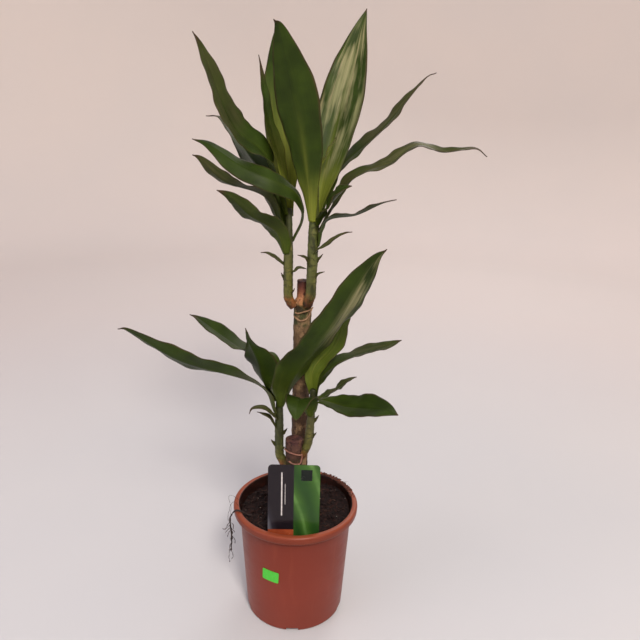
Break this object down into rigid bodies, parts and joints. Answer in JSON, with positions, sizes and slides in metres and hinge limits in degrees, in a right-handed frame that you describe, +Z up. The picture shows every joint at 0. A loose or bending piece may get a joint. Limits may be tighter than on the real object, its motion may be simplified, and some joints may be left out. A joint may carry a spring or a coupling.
{
  "type": "potted dracaena",
  "caption": "Potted dracaena: bare woody canes with leafy shoots of long arched leaves, standing in peat in a round nursery pot.",
  "frame": {"origin": "on the ground, on the pot's upright axis, below the middle of the whole plant", "axes": "+Z up, +X to the right of the plant seen from its front, -Y to the front, where the label stands"},
  "size_m": [0.3264, 0.1638, 0.6072],
  "materials": {
    "terracotta_plastic": "satin moulded plastic, terracotta brown",
    "peat": "loose dark peat",
    "bark": "rough ringed bark",
    "shoot": "smooth green stem with leaf scars",
    "leaf_green": "glossy leaf",
    "young_green": "glossy young leaf",
    "root": "dry tan aerial root",
    "dark_root": "dry dark root",
    "label_card": "glossy printed plastic card",
    "neon_paper": "matt fluorescent paper"
  },
  "bodies": {
    "root": {"pot": "terracotta_plastic", "soil": "peat", "cane_tall": "bark", "cane_short": "bark", "stem_upper_left": "shoot", "stem_upper_right": "shoot", "stem_lower_left": "shoot", "stem_lower_right": "shoot", "leaf_upper_left_1": "leaf_green", "leaf_upper_left_2": "leaf_green", "leaf_upper_left_3": "leaf_green", "leaf_upper_left_4": "leaf_green", "leaf_upper_left_5": "leaf_green", "leaf_upper_left_6": "leaf_green", "leaf_upper_left_7": "leaf_green", "leaf_upper_right_1": "leaf_green", "leaf_upper_right_2": "leaf_green", "leaf_upper_right_3": "leaf_green", "leaf_upper_right_4": "leaf_green", "leaf_upper_right_5": "leaf_green", "leaf_upper_right_6": "leaf_green", "leaf_upper_right_spear": "young_green", "leaf_lower_left_1": "leaf_green", "leaf_lower_left_2": "leaf_green", "leaf_lower_left_3": "leaf_green", "leaf_lower_left_4": "leaf_green", "leaf_lower_right_1": "leaf_green", "leaf_lower_right_2": "leaf_green", "leaf_lower_right_3": "leaf_green", "leaf_lower_right_4": "leaf_green", "leaf_lower_right_5": "leaf_green", "roots_tall": "root", "roots_short": "root", "stray_root": "dark_root", "label": "label_card", "price_sticker": "neon_paper"}
  },
  "joints": []
}
